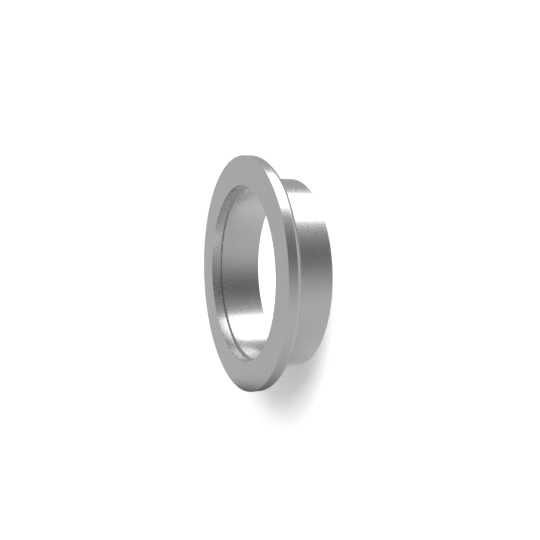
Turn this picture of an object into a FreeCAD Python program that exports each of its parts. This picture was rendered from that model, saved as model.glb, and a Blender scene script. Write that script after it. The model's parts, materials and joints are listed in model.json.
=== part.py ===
import FreeCAD, Part
import math
import os

# Vacuum weld flange, turned in one piece from stainless steel bar.
# The axis is Z. The weld end lies on Z 0 and the sealing face looks up +Z.
# Lengths are in millimetres and angles in degrees.

# Widths, from the bore outwards.
bore_diameter = 40.0
tube_wall = 2.25            # wall of the stub that is welded to the pipe
shoulder_width = 0.6        # step that the centring ring sits against
sealing_face_width = 6.9    # flat ring between the recess and the rim

# Heights, down from the sealing face.
overall_length = 12.7
recess_depth = 2.5
rim_thickness = 3.0         # to the sharp corner that the rim and the clamp cone would meet in
clamp_cone_angle = 15.0     # slope of the back of the flange that the clamp pulls on

# Corners.
rim_back_radius = 1.3       # rounds the rim over into the clamp cone
root_radius = 0.4           # left by the nose of the tool where the cone meets the tube
edge_break = 0.1            # bevel that takes the burr off the outer corners
lip_break = 0.05            # the same on the lip of the shoulder, whose flat is narrow

bore_radius = bore_diameter / 2
tube_radius = bore_radius + tube_wall
recess_radius = bore_radius + shoulder_width
rim_radius = recess_radius + sealing_face_width

shoulder_height = overall_length - recess_depth
rim_back_height = overall_length - rim_thickness
cone_height = (rim_radius - tube_radius) * math.tan(math.radians(clamp_cone_angle))
tube_height = rim_back_height - cone_height


def directions(before, corner, after):
    """Unit vectors from a corner along the two sides that meet there."""
    return (before - corner).normalize(), (after - corner).normalize()


def bevel(before, corner, after, width):
    """The straight edge that cuts a corner off at this distance along both sides."""
    back, ahead = directions(before, corner, after)
    return Part.LineSegment(corner + back * width, corner + ahead * width)


def round_off(before, corner, after, radius):
    """The arc of this radius that is tangent to both sides of a corner."""
    back, ahead = directions(before, corner, after)
    half_angle = back.getAngle(ahead) / 2
    tangent_length = radius / math.tan(half_angle)
    middle_distance = radius / math.sin(half_angle) - radius
    middle = corner + (back + ahead).normalize() * middle_distance
    return Part.Arc(corner + back * tangent_length, middle, corner + ahead * tangent_length)


def keep_sharp(before, corner, after, size):
    """No easing: the sides simply meet in the corner."""
    return None


def section_corners():
    """The half section: each corner's radius, height, way of easing it, and the size of that."""
    return [
        (bore_radius, 0.0, bevel, edge_break),
        (tube_radius, 0.0, bevel, edge_break),
        (tube_radius, tube_height, round_off, root_radius),
        (rim_radius, rim_back_height, round_off, rim_back_radius),
        (rim_radius, overall_length, bevel, edge_break),
        (recess_radius, overall_length, bevel, edge_break),
        (recess_radius, shoulder_height, keep_sharp, 0.0),
        (bore_radius, shoulder_height, bevel, lip_break),
    ]


def section_face(corners):
    """The closed half section: each eased corner, then the straight side to the next one."""
    points = [FreeCAD.Vector(radius, 0, height) for radius, height, ease, size in corners]
    count = len(corners)
    eased = []
    for index, (radius, height, ease, size) in enumerate(corners):
        eased.append(ease(points[index - 1], points[index], points[(index + 1) % count], size))
    starts = [curve.StartPoint if curve else point for curve, point in zip(eased, points)]
    ends = [curve.EndPoint if curve else point for curve, point in zip(eased, points)]
    edges = []
    for index, curve in enumerate(eased):
        if curve:
            edges.append(curve.toShape())
        following = starts[(index + 1) % count]
        edges.append(Part.LineSegment(ends[index], following).toShape())
    return Part.Face(Part.Wire(edges))


def weld_flange():
    """The whole flange: its half section turned once about the axis."""
    base = FreeCAD.Vector(0, 0, 0)
    axis = FreeCAD.Vector(0, 0, 1)
    return section_face(section_corners()).revolve(base, axis, 360)


os.makedirs("parts", exist_ok=True)
weld_flange().exportStep("parts/weld_flange.step")
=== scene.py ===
import json
import math

import bmesh
import bpy
from bpy.props import FloatProperty, FloatVectorProperty, IntProperty, PointerProperty
from bpy.types import Operator, Panel, PropertyGroup
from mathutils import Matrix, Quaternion, Vector


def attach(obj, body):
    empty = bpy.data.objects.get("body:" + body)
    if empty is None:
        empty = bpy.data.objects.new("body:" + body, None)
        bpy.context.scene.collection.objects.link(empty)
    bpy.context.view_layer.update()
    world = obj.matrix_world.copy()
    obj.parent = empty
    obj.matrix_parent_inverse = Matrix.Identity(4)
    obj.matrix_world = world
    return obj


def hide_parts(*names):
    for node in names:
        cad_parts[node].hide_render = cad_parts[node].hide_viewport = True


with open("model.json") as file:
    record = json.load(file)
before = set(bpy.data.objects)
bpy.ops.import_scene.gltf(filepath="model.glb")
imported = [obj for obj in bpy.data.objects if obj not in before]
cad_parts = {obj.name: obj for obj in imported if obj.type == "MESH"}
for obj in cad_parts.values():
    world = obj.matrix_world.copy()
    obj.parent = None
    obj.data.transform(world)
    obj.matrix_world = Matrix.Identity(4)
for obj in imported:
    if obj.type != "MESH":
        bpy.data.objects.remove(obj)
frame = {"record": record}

bl_info = {
    "name": "Vacuum weld flange",
    "version": (1, 0, 0),
    "blender": (4, 5, 0),
    "location": "3D View > Sidebar > Flange",
    "description": "Turns a vacuum weld flange in satin steel and sets it on a pale studio floor",
    "category": "Object",
}

MM = 0.001
NODE = "weld_flange"
MOUNTS = {mount["name"]: mount for mount in frame["record"]["mounts"]}
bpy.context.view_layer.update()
STEEL = frame["record"]["materials"][0]


def mount_radius(name):
    """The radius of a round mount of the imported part, in metres."""
    return MOUNTS[name]["dims"]["r_mm"] * MM


class FlangeSizes(PropertyGroup):
    """The sizes of the flange's section, up from the weld end and out from the axis."""

    bore_radius: FloatProperty(
        name="Bore radius",
        description="Radius of the clear way through the tube",
        default=mount_radius("tube_bore"),
        unit="LENGTH",
    )
    tube_radius: FloatProperty(
        name="Tube radius",
        description="Outer radius of the stub that is welded to the pipe",
        default=mount_radius("weld_stub"),
        unit="LENGTH",
    )
    recess_radius: FloatProperty(
        name="Recess radius",
        description="Radius of the recess that holds the centring ring",
        default=mount_radius("ring_recess"),
        unit="LENGTH",
    )
    rim_radius: FloatProperty(
        name="Rim radius",
        description="Outer radius of the flange",
        default=mount_radius("rim"),
        unit="LENGTH",
    )
    length: FloatProperty(
        name="Length",
        description="Height of the sealing face over the weld end",
        default=MOUNTS["sealing_face"]["pos_m"][2],
        unit="LENGTH",
    )
    recess_depth: FloatProperty(
        name="Recess depth",
        description="Depth of the shoulder under the sealing face",
        default=2.5 * MM,
        unit="LENGTH",
    )
    rim_thickness: FloatProperty(
        name="Rim thickness",
        description="Depth under the sealing face of the sharp corner of rim and clamp cone",
        default=3.0 * MM,
        unit="LENGTH",
    )
    cone_angle: FloatProperty(
        name="Clamp cone angle",
        description="Slope of the back of the flange",
        default=math.radians(15.0),
        subtype="ANGLE",
    )
    rim_back_radius: FloatProperty(
        name="Rim back radius",
        description="Radius that rounds the rim over into the clamp cone",
        default=1.3 * MM,
        unit="LENGTH",
    )
    root_radius: FloatProperty(
        name="Root radius",
        description="Radius that the tool's nose leaves where the clamp cone meets the tube",
        default=0.4 * MM,
        unit="LENGTH",
    )
    edge_break: FloatProperty(
        name="Edge break",
        description="Width of the rounding that takes the burr off the outer corners",
        default=0.1 * MM,
        unit="LENGTH",
    )
    lip_break: FloatProperty(
        name="Lip break",
        description="Width of the rounding on the lip of the shoulder",
        default=0.05 * MM,
        unit="LENGTH",
    )
    steps: IntProperty(
        name="Steps",
        description="Faces round the axis",
        default=256,
        min=32,
    )


class SteelFinish(PropertyGroup):
    """The look of the turned steel."""

    colour: FloatVectorProperty(
        name="Colour",
        description="Colour that the bare steel mirrors",
        default=STEEL["base_color"],
        subtype="COLOR",
        size=3,
        min=0.0,
        max=1.0,
    )
    roughness: FloatProperty(
        name="Roughness",
        description="Width of the steel's reflections",
        default=0.25,
        subtype="FACTOR",
        min=0.0,
        max=1.0,
    )
    ring_pitch: FloatProperty(
        name="Ring pitch",
        description="Mean distance between two rings that the turning tool leaves",
        default=0.12 * MM,
        unit="LENGTH",
        precision=6,
    )
    ring_depth: FloatProperty(
        name="Ring depth",
        description="Height of the rings over the grooves between them",
        default=0.0007 * MM,
        unit="LENGTH",
        precision=6,
    )
    grain_size: FloatProperty(
        name="Grain size",
        description="Size of the fine blasted grain",
        default=0.28 * MM,
        unit="LENGTH",
        precision=6,
    )
    grain_depth: FloatProperty(
        name="Grain depth",
        description="Height of the grain",
        default=0.006 * MM,
        unit="LENGTH",
        precision=6,
    )
    ring_tone: FloatProperty(
        name="Rings' tone",
        description="How much the rings change the colour",
        default=0.04,
        min=0.0,
    )
    grain_tone: FloatProperty(
        name="Grain's tone",
        description="How much the grain changes the colour",
        default=0.06,
        min=0.0,
    )
    ring_sheen: FloatProperty(
        name="Rings' sheen",
        description="How much the rings change the roughness",
        default=0.05,
        min=0.0,
    )
    grain_sheen: FloatProperty(
        name="Grain's sheen",
        description="How much the grain changes the roughness",
        default=0.15,
        min=0.0,
    )


class StudioSettings(PropertyGroup):
    """The floor, the light and the camera."""

    camera_place: FloatVectorProperty(
        name="Camera place",
        description="Where the camera stands",
        default=(0.00275, -0.16774, 0.07624),
        subtype="TRANSLATION",
        size=3,
    )
    camera_target: FloatVectorProperty(
        name="Camera target",
        description="Point of the sealing face's plane that the camera looks at",
        default=(0.00087, -0.01782, 0.0127),
        subtype="TRANSLATION",
        size=3,
    )
    camera_roll: FloatProperty(
        name="Camera roll",
        description="Turn of the camera about its own line of sight",
        default=math.radians(-91.84),
        subtype="ANGLE",
    )
    camera_lens: FloatProperty(
        name="Lens",
        description="Focal length on a sensor 36 mm wide",
        default=50.99,
        unit="CAMERA",
    )
    floor_colour: FloatVectorProperty(
        name="Floor colour",
        description="Colour of the plain pale floor",
        default=(0.9, 0.9, 0.9),
        subtype="COLOR",
        size=3,
        min=0.0,
        max=1.0,
    )
    floor_glow: FloatProperty(
        name="Floor glow",
        description="Share of the floor's white near the flange that no shadow takes away",
        default=0.25,
        subtype="FACTOR",
        min=0.0,
        max=1.0,
    )
    # Painted light: extra glow of the floor inside the bore, which lifts the shadow there.
    bore_glow: FloatProperty(
        name="Bore's glow",
        description="How much more of the floor's white no shadow takes away inside the bore",
        default=0.45,
        subtype="FACTOR",
        min=0.0,
        max=1.0,
    )
    room_level: FloatProperty(
        name="Room level",
        description="Brightness of the soft light that comes from all round",
        default=0.45,
        min=0.0,
    )
    mirrored_level: FloatProperty(
        name="Mirrored level",
        description="Brightness of the room that the steel mirrors, where the white background is 1",
        default=0.97,
        min=0.0,
    )
    dark_bearing: FloatProperty(
        name="Dark side",
        description="Bearing of the darker side of the room that the steel mirrors",
        default=math.radians(-69.0),
        subtype="ANGLE",
    )
    dark_width: FloatProperty(
        name="Dark side's width",
        description="Angle over which the darker side fades",
        default=math.radians(36.0),
        subtype="ANGLE",
    )
    dark_depth: FloatProperty(
        name="Dark side's depth",
        description="How much of the white is missing in the middle of the darker side",
        default=0.72,
        subtype="FACTOR",
        min=0.0,
        max=1.0,
    )
    far_bearing: FloatProperty(
        name="Far side",
        description="Bearing of the side of the room that grows greyer towards the ground",
        default=math.radians(70.0),
        subtype="ANGLE",
    )
    far_depth: FloatProperty(
        name="Far side's depth",
        description="How much of the white is missing on that side, near the ground",
        default=0.32,
        subtype="FACTOR",
        min=0.0,
        max=1.0,
    )
    bright_bearing: FloatProperty(
        name="Bright side",
        description="Bearing of the slightly brighter side of the room that the steel mirrors",
        default=math.radians(160.0),
        subtype="ANGLE",
    )
    bright_width: FloatProperty(
        name="Bright side's width",
        description="Angle over which the brighter side fades",
        default=math.radians(25.0),
        subtype="ANGLE",
    )
    bright_level: FloatProperty(
        name="Bright side's level",
        description="How much brighter the room is in the middle of that side",
        default=0.17,
        min=0.0,
    )
    # The shades below are painted shadow, which only the steel mirrors: the shadow of a floor under the rim
    # that the scene doesn't have.
    shade_place: FloatVectorProperty(
        name="Shade's place",
        description="Middle of the dark shade that the steel mirrors close to the rim",
        default=(-0.0276, -0.0027, 0.0116),
        subtype="TRANSLATION",
        size=3,
    )
    shade_width: FloatProperty(
        name="Shade's width",
        description="Distance along the rim over which the shade fades",
        default=16.0 * MM,
        unit="LENGTH",
    )
    shade_height: FloatProperty(
        name="Shade's height",
        description="Distance along the axis over which the shade fades",
        default=8.8 * MM,
        unit="LENGTH",
    )
    shade_depth: FloatProperty(
        name="Shade's depth",
        description="How much of the light is missing in the middle of the shade",
        default=0.77,
        subtype="FACTOR",
        min=0.0,
        max=1.0,
    )
    wide_place: FloatVectorProperty(
        name="Wide shade's place",
        description="Middle of the wide faint shade that the steel mirrors beside the tube",
        default=(-0.0277, -0.012, 0.002),
        subtype="TRANSLATION",
        size=3,
    )
    wide_reach: FloatProperty(
        name="Wide shade's reach",
        description="Distance over which the wide shade fades",
        default=20.0 * MM,
        unit="LENGTH",
    )
    wide_depth: FloatProperty(
        name="Wide shade's depth",
        description="How much of the light is missing in the middle of the wide shade",
        default=0.14,
        subtype="FACTOR",
        min=0.0,
        max=1.0,
    )
    bore_gain: FloatProperty(
        name="Bore's gain",
        description="How much brighter the room is in the bore at each further reflection in its wall",
        default=0.5,
        min=0.0,
    )
    bore_relief: FloatProperty(
        name="Bore's relief",
        description="How much of the darker side is missing in the bore at each further reflection",
        default=0.6,
        min=0.0,
    )
    key_place: FloatVectorProperty(
        name="Key light's place",
        description="Where the lamp hangs that casts the flange's shadow",
        default=(0.42, -0.54, 0.58),
        subtype="TRANSLATION",
        size=3,
    )
    key_width: FloatProperty(
        name="Key light's width",
        description="Width of that lamp, which makes the shadow soft",
        default=0.5,
        unit="LENGTH",
    )
    key_level: FloatProperty(
        name="Key light's level",
        description="Light that the lamp gives the floor round the flange, where 1 is full light",
        default=0.6,
        min=0.0,
    )
    softbox_level: FloatProperty(
        name="Softbox level",
        description="Brightness of the softbox's surface, where the white background is 1",
        default=3.5,
        min=0.0,
    )
    softbox_top: FloatProperty(
        name="Softbox's top",
        description="Height of the softbox's top edge over the floor",
        default=-0.2,
        unit="LENGTH",
    )
    softbox_from: FloatProperty(
        name="Softbox from",
        description="Bearing of the softbox's near edge",
        default=math.radians(-26.5),
        subtype="ANGLE",
    )
    softbox_to: FloatProperty(
        name="Softbox to",
        description="Bearing of the softbox's far edge",
        default=math.radians(18.0),
        subtype="ANGLE",
    )


class Value:
    """A socket that carries a number. Arithmetic on it adds the Math nodes that work it out."""

    def __init__(self, shader, socket):
        self.shader = shader
        self.socket = socket

    def math(self, operation, *others):
        """The output of a Math node that takes this value first."""
        node = self.shader.add("ShaderNodeMath", {"operation": operation}, dict(enumerate((self, *others))))
        return Value(self.shader, node.outputs[0])

    def __add__(self, other):
        return self.math("ADD", other)

    def __sub__(self, other):
        return self.math("SUBTRACT", other)

    def __mul__(self, other):
        return self.math("MULTIPLY", other)

    def __truediv__(self, other):
        return self.math("DIVIDE", other)

    def __rsub__(self, other):
        return self * -1 + other

    def __neg__(self):
        return self * -1

    __radd__ = __add__
    __rmul__ = __mul__

    def root(self):
        """The square root."""
        return self.math("SQRT")

    def at_least(self, limit):
        """The larger of this and a limit."""
        return self.math("MAXIMUM", limit)

    def exponential(self):
        """The number e to the power of this value."""
        return self.math("EXPONENT")

    def smooth_step(self, low, high):
        """Rises smoothly from 0 at the low value to 1 at the high one."""
        settings = {"interpolation_type": "SMOOTHSTEP"}
        inputs = {"Value": self, "From Min": low, "From Max": high}
        return self.shader.value("ShaderNodeMapRange", "Result", settings, inputs)


class Shader:
    """The node tree of a material or of the world."""

    def __init__(self, owner):
        owner.use_nodes = True
        self.tree = owner.node_tree
        self.tree.nodes.clear()

    def add(self, kind, settings=None, inputs=None):
        """Adds a node of a kind, sets its settings, and gives its inputs a value or a link."""
        node = self.tree.nodes.new(kind)
        for name, setting in (settings or {}).items():
            setattr(node, name, setting)
        for name, given in (inputs or {}).items():
            source = given.socket if isinstance(given, Value) else given
            if isinstance(source, bpy.types.NodeSocket):
                self.tree.links.new(source, node.inputs[name])
            else:
                node.inputs[name].default_value = source
        return node

    def value(self, kind, output, settings=None, inputs=None):
        """A number that a new node gives at one of its outputs."""
        return Value(self, self.add(kind, settings, inputs).outputs[output])


def grey(level):
    """A neutral colour with full alpha."""
    return (level, level, level, 1.0)


def tool_rings(shader, place, finish):
    """The rings of the turning tool: noise that changes fast across its path and slowly along it."""
    parts = shader.add("ShaderNodeSeparateXYZ", inputs={"Vector": place})
    x = Value(shader, parts.outputs["X"])
    y = Value(shader, parts.outputs["Y"])
    z = Value(shader, parts.outputs["Z"])
    radius = (x * x + y * y).root()
    across = (radius + z) / finish.ring_pitch
    along = shader.add("ShaderNodeCombineXYZ", inputs={"X": x / radius, "Y": y / radius})
    return shader.value(
        "ShaderNodeTexNoise",
        "Fac",
        {"noise_dimensions": "4D"},
        {"Vector": along.outputs[0], "W": across, "Scale": 1.0, "Detail": 2.0},
    )


def fine_grain(shader, place, finish):
    """The grain: noise that is the same in every direction."""
    inputs = {"Vector": place, "Scale": 1.0 / finish.grain_size, "Detail": 1.0}
    return shader.value("ShaderNodeTexNoise", "Fac", inputs=inputs)


def turned_steel(finish):
    """Satin steel: rings of the turning tool under a fine even grain."""
    material = bpy.data.materials.new("turned_steel")
    shader = Shader(material)
    place = shader.add("ShaderNodeTexCoord").outputs["Object"]
    rings = tool_rings(shader, place, finish)
    grain = fine_grain(shader, place, finish)

    # Both change the colour and the roughness to both sides of their mean.
    noise_mean = 0.5
    ring_swing = rings - noise_mean
    grain_swing = grain - noise_mean
    level = ring_swing * finish.ring_tone + grain_swing * finish.grain_tone + 1.0
    colour = shader.add(
        "ShaderNodeVectorMath",
        {"operation": "SCALE"},
        {0: tuple(finish.colour), "Scale": level},
    )
    sheen = ring_swing * finish.ring_sheen + grain_swing * finish.grain_sheen
    height = rings * finish.ring_depth + grain * finish.grain_depth
    bump = shader.add("ShaderNodeBump", inputs={"Height": height, "Strength": 1.0, "Distance": 1.0})
    steel = shader.add(
        "ShaderNodeBsdfPrincipled",
        inputs={
            "Base Color": colour.outputs[0],
            "Metallic": 1.0,
            "Roughness": sheen + finish.roughness,
            "Normal": bump.outputs[0],
        },
    )
    shader.add("ShaderNodeOutputMaterial", inputs={"Surface": steel.outputs[0]})
    return material


def deselect_all():
    """Nothing is selected after this, the frame's nodes included."""
    bpy.ops.object.select_all(action="DESELECT")


def select_ring(piece, radius, height):
    """In edit mode, selects only the edges of the ring of this radius and height."""
    tolerance = 1e-6
    mesh = bmesh.from_edit_mesh(piece.data)
    for face in mesh.faces:
        face.select = False
    for edge in mesh.edges:
        edge.select = all(
            abs(end.co.z - height) < tolerance and abs(end.co.xy.length - radius) < tolerance
            for end in edge.verts
        )
    mesh.select_flush_mode()
    bmesh.update_edit_mesh(piece.data)


def section_corners(sizes):
    """The half section's corners: radius, height, how far the rounding reaches, and its segments."""
    overhang = sizes.rim_radius - sizes.tube_radius
    shoulder = sizes.length - sizes.recess_depth
    rim_back = sizes.length - sizes.rim_thickness
    cone_foot = rim_back - overhang * math.tan(sizes.cone_angle)
    root_reach = sizes.root_radius * math.tan((math.pi / 2 - sizes.cone_angle) / 2)
    rim_reach = sizes.rim_back_radius * math.tan((math.pi / 2 - sizes.cone_angle) / 2)
    edge_segments = 3
    root_segments = 6
    rim_segments = 10
    return [
        (sizes.bore_radius, 0.0, sizes.edge_break, edge_segments),
        (sizes.tube_radius, 0.0, sizes.edge_break, edge_segments),
        (sizes.tube_radius, cone_foot, root_reach, root_segments),
        (sizes.rim_radius, rim_back, rim_reach, rim_segments),
        (sizes.rim_radius, sizes.length, sizes.edge_break, edge_segments),
        (sizes.recess_radius, sizes.length, sizes.edge_break, edge_segments),
        (sizes.recess_radius, shoulder, 0.0, 0),
        (sizes.bore_radius, shoulder, sizes.lip_break, edge_segments),
    ]


def turn_section(name, corners, steps):
    """A closed ring: a circle at the first corner, drawn out and resized to each next one."""
    deselect_all()
    radius, height = corners[0][:2]
    bpy.ops.mesh.primitive_circle_add(
        vertices=steps, radius=radius, location=(0, 0, height), fill_type="NOTHING"
    )
    piece = bpy.context.object
    piece.name = name
    bpy.ops.object.mode_set(mode="EDIT")
    bpy.ops.mesh.select_all(action="SELECT")
    for corner in corners[1:] + corners[:1]:
        rise = corner[1] - height
        growth = corner[0] / radius
        bpy.ops.mesh.extrude_edges_move(TRANSFORM_OT_translate={"value": (0, 0, rise)})
        bpy.ops.transform.resize(value=(growth, growth, 1), center_override=(0, 0, 0))
        radius, height = corner[:2]
    closing_distance = 0.001 * MM
    bpy.ops.mesh.select_all(action="SELECT")
    bpy.ops.mesh.remove_doubles(threshold=closing_distance)
    bpy.ops.mesh.normals_make_consistent(inside=False)
    return piece


def ease_corners(piece, corners):
    """In edit mode, rounds each corner of the section all the way round."""
    bpy.ops.mesh.select_mode(type="EDGE")
    for radius, height, reach, segments in corners:
        if reach == 0.0:
            continue
        select_ring(piece, radius, height)
        bpy.ops.mesh.bevel(offset_type="OFFSET", offset=reach, segments=segments, affect="EDGES")


def smooth_by_area(piece):
    """Smooth shading up to sharp corners, with normals that keep the wide faces flat."""
    sharp_angle = math.radians(40)
    bpy.ops.object.shade_smooth_by_angle(angle=sharp_angle)
    modifier = piece.modifiers.new("face_weights", "WEIGHTED_NORMAL")
    modifier.keep_sharp = True
    bpy.ops.object.modifier_apply(modifier=modifier.name)


class FLANGE_OT_turn(Operator):
    """Turns the flange from its half section and gives it its steel"""

    bl_idname = "flange.turn"
    bl_label = "Turn the flange"

    def execute(self, context):
        sizes = context.scene.flange_sizes
        corners = section_corners(sizes)
        piece = turn_section("turned_flange", corners, sizes.steps)
        ease_corners(piece, corners)
        bpy.ops.object.mode_set(mode="OBJECT")
        smooth_by_area(piece)
        piece.data.materials.append(turned_steel(context.scene.flange_finish))
        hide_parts(NODE)
        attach(piece, "root")
        return {"FINISHED"}


def mirrored(shader):
    """1 for the rays that metal and glass send out, and 0 for all others."""
    path = shader.add("ShaderNodeLightPath")
    return Value(shader, path.outputs["Is Glossy Ray"]) + Value(shader, path.outputs["Is Transmission Ray"])


def camera_ray(shader):
    """1 for the rays of the camera itself, and 0 for all others."""
    return shader.value("ShaderNodeLightPath", "Is Camera Ray")


def pale_floor(settings):
    """A plain pale floor that is white to the camera and keeps the flange's shadow, except inside the bore,
    where painted light lifts it.
    """
    material = bpy.data.materials.new("pale_floor")
    shader = Shader(material)
    diffuse = shader.add("ShaderNodeBsdfDiffuse", inputs={"Color": (*settings.floor_colour, 1.0)})
    place = shader.add("ShaderNodeTexCoord").outputs["Object"]
    distance = shader.value("ShaderNodeVectorMath", "Value", {"operation": "LENGTH"}, {0: place})

    # Past the reach of the shadow the glow grows to full white.
    shadow_reach = 0.1
    full_white = 0.5
    beyond = distance.smooth_step(shadow_reach, full_white) * (1.0 - settings.floor_glow)

    # Inside the bore it is stronger: painted light that lifts the floor's shadow there. The step between
    # the two lies under the tube's wall.
    under_wall = mount_radius("weld_stub") - 0.45 * MM
    near_bore = mount_radius("tube_bore") + 0.4 * MM
    inside = distance.smooth_step(under_wall, near_bore) * settings.bore_glow
    level = beyond + settings.floor_glow + inside
    seen = camera_ray(shader) + mirrored(shader)
    glow = shader.add("ShaderNodeEmission", inputs={"Color": grey(1.0), "Strength": seen * level})
    both = shader.add("ShaderNodeAddShader", inputs={0: diffuse.outputs[0], 1: glow.outputs[0]})
    shader.add("ShaderNodeOutputMaterial", inputs={"Surface": both.outputs[0]})
    return material


def bell(offset):
    """1 where the offset is 0, fading smoothly to nothing on both sides."""
    return (-(offset * offset)).exponential()


def bore_repeats(shader, height, facing_far):
    """Reflections in the bore before the last one, on rays that leave it downwards or to the far side."""
    horizon = 0.0
    well_below = -0.2
    below = height.smooth_step(horizon, well_below)
    bounces = shader.value("ShaderNodeLightPath", "Glossy Depth")
    return (bounces - 1.0).at_least(0.0) * (below + (1.0 - below) * facing_far)


def mirrored_room(shader, settings):
    """Brightness of the room that the steel mirrors, by direction and by the count of reflections."""
    direction = shader.add("ShaderNodeTexCoord").outputs["Generated"]
    parts = shader.add("ShaderNodeSeparateXYZ", inputs={"Vector": direction})
    bearing = Value(shader, parts.outputs["Y"]).math("ARCTAN2", Value(shader, parts.outputs["X"]))
    height = Value(shader, parts.outputs["Z"])
    facing_far = (bearing - settings.far_bearing).math("COSINE").at_least(0.0)
    repeats = bore_repeats(shader, height, facing_far)

    # The darker side ends towards straight down and fades at each further reflection.
    dark_end = -0.75
    dark_start = -0.5
    dark_side = bell((bearing - settings.dark_bearing) / settings.dark_width)
    dark_side = dark_side * height.smooth_step(dark_end, dark_start) * settings.dark_depth
    dark_side = dark_side * (1.0 - repeats * settings.bore_relief).at_least(0.0)

    # The far side is greyer the lower it is.
    far_top = 0.9
    far_side = facing_far * (far_top - height).at_least(0.0) * settings.far_depth

    # The sine of half the angle has no seam at a bearing of 180 degrees, which is near this side.
    half_sine = ((bearing - settings.bright_bearing) * 0.5).math("SINE")
    bright_side = bell(half_sine * 2.0 / settings.bright_width) * settings.bright_level

    level = settings.mirrored_level - dark_side - far_side + bright_side
    return level * (repeats * settings.bore_gain + 1.0)


def white_room(settings):
    """A soft even light that is white to the camera, with tones that only the steel mirrors."""
    world = bpy.data.worlds.new("white_room")
    bpy.context.scene.world = world
    shader = Shader(world)
    to_camera = camera_ray(shader)
    to_steel = mirrored(shader)
    to_others = 1.0 - to_camera - to_steel
    steel_level = mirrored_room(shader, settings)
    strength = to_camera + to_steel * steel_level + to_others * settings.room_level
    room = shader.add("ShaderNodeBackground", inputs={"Color": grey(1.0), "Strength": strength})
    shader.add("ShaderNodeOutputWorld", inputs={"Surface": room.outputs[0]})


def lay_floor(settings):
    """The floor that the flange stands on."""
    width = 8.0
    deselect_all()
    bpy.ops.mesh.primitive_plane_add(size=width, location=(0, 0, 0))
    floor = bpy.context.object
    floor.name = "floor"
    floor.data.materials.append(pale_floor(settings))
    floor.visible_glossy = False
    floor.visible_shadow = False


def soft_shade(name, reach, depth):
    """A painted shadow: dark in the middle by this depth, and fading to nothing over this reach to each
    side.
    """
    material = bpy.data.materials.new(name)
    shader = Shader(material)
    place = shader.add("ShaderNodeTexCoord").outputs["Object"]
    share = shader.add("ShaderNodeVectorMath", {"operation": "DIVIDE"}, {0: place, 1: reach})
    square = shader.value(
        "ShaderNodeVectorMath",
        "Value",
        {"operation": "DOT_PRODUCT"},
        {0: share.outputs[0], 1: share.outputs[0]},
    )
    clear = shader.add("ShaderNodeBsdfTransparent")
    dark = shader.add("ShaderNodeBsdfDiffuse", inputs={"Color": grey(0.0)})
    both = shader.add(
        "ShaderNodeMixShader",
        inputs={0: (-square).exponential() * depth, 1: clear.outputs[0], 2: dark.outputs[0]},
    )
    shader.add("ShaderNodeOutputMaterial", inputs={"Surface": both.outputs[0]})
    return material


def stand_shade(name, place, height, width, depth):
    """An upright sheet of painted shadow beside the rim, which only the steel mirrors."""
    plane_width = 0.12
    upright = (0, math.radians(90), 0)
    deselect_all()
    bpy.ops.mesh.primitive_plane_add(size=plane_width, location=place, rotation=upright)
    shade = bpy.context.object
    shade.name = name
    shade.data.materials.append(soft_shade(name, (height, width, 1.0), depth))
    shade.visible_camera = False
    shade.visible_diffuse = False
    shade.visible_shadow = False


def stand_shades(settings):
    """Two painted shadows that only the steel mirrors, a dark one close to the rim and a wide faint one."""
    stand_shade(
        "rim_shade",
        settings.shade_place,
        settings.shade_height,
        settings.shade_width,
        settings.shade_depth,
    )
    stand_shade(
        "wide_shade",
        settings.wide_place,
        settings.wide_reach,
        settings.wide_reach,
        settings.wide_depth,
    )


def hang_lamp(name, place, rotation, size, radiance):
    """A rectangular lamp of an even brightness, which the camera doesn't see."""
    deselect_all()
    bpy.ops.object.light_add(type="AREA", location=place, rotation=rotation)
    lamp = bpy.context.object
    lamp.name = name
    lamp.data.shape = "RECTANGLE"
    lamp.data.size, lamp.data.size_y = size
    lamp.data.energy = radiance * math.pi * size[0] * size[1]
    lamp.visible_camera = False
    return lamp


def hang_softbox(settings):
    """The softbox beside the flange, between two bearings from its axis, which the steel mirrors."""
    distance = 1.2
    bottom = -1.2
    near = distance * math.tan(settings.softbox_from)
    far = distance * math.tan(settings.softbox_to)
    place = (distance, (near + far) / 2, (bottom + settings.softbox_top) / 2)
    size = (settings.softbox_top - bottom, far - near)
    hang_lamp("softbox", place, (0, math.radians(90), 0), size, settings.softbox_level)


def hang_key_light(settings):
    """The lamp above the flange that casts its soft shadow. The steel doesn't mirror it."""
    place = Vector(settings.key_place)
    aim = (-place).to_track_quat("-Z", "Y").to_euler()
    width = settings.key_width
    steepness = place.z / place.length

    # So bright that the floor round the flange gets this level.
    radiance = settings.key_level * math.pi * place.length_squared / (width * width * steepness)
    lamp = hang_lamp("key_light", place, aim, (width, width), radiance)
    lamp.visible_glossy = False


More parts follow.
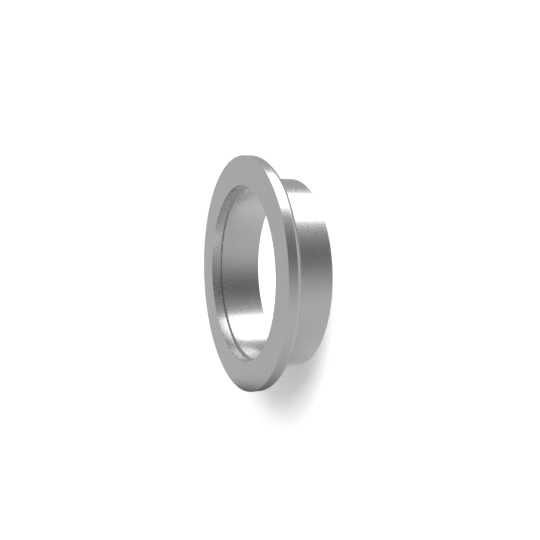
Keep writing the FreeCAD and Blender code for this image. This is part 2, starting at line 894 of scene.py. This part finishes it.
def place_camera(settings):
    """The camera, at the pictured angle to the flange and turned on its side."""
    deselect_all()
    bpy.ops.object.camera_add(location=settings.camera_place)
    camera = bpy.context.object
    camera.name = "camera"
    sight = Vector(settings.camera_target) - Vector(settings.camera_place)
    roll = Quaternion((0, 0, 1), settings.camera_roll)
    camera.rotation_mode = "QUATERNION"
    camera.rotation_quaternion = sight.to_track_quat("-Z", "Y") @ roll
    camera.data.lens = settings.camera_lens
    camera.data.clip_start = 0.01
    bpy.context.scene.camera = camera


class FLANGE_OT_stage(Operator):
    """Lights the room, lays the floor, stands the shades, hangs the lamps and sets up the camera"""

    bl_idname = "flange.stage"
    bl_label = "Set up the studio"

    def execute(self, context):
        settings = context.scene.flange_studio
        context.scene.view_settings.view_transform = "Standard"
        white_room(settings)
        lay_floor(settings)
        stand_shades(settings)
        hang_softbox(settings)
        hang_key_light(settings)
        place_camera(settings)
        return {"FINISHED"}


class FLANGE_PT_sidebar(Panel):
    """Lists the steps that make the flange and its studio"""

    bl_idname = "FLANGE_PT_sidebar"
    bl_label = "Vacuum weld flange"
    bl_space_type = "VIEW_3D"
    bl_region_type = "UI"
    bl_category = "Flange"

    def draw(self, context):
        self.layout.operator(FLANGE_OT_turn.bl_idname)
        self.layout.operator(FLANGE_OT_stage.bl_idname)


GROUPS = {
    "flange_sizes": FlangeSizes,
    "flange_finish": SteelFinish,
    "flange_studio": StudioSettings,
}
CLASSES = (*GROUPS.values(), FLANGE_OT_turn, FLANGE_OT_stage, FLANGE_PT_sidebar)


def register():
    """Adds the classes, and the property groups to the scene."""
    for kind in CLASSES:
        bpy.utils.register_class(kind)
    for name, group in GROUPS.items():
        setattr(bpy.types.Scene, name, PointerProperty(type=group))


def unregister():
    """Takes out what register() added."""
    for name in GROUPS:
        delattr(bpy.types.Scene, name)
    for kind in reversed(CLASSES):
        bpy.utils.unregister_class(kind)


def main():
    """Makes the flange and its studio."""
    register()
    bpy.ops.flange.turn()
    bpy.ops.flange.stage()


if __name__ == "__main__":
    main()
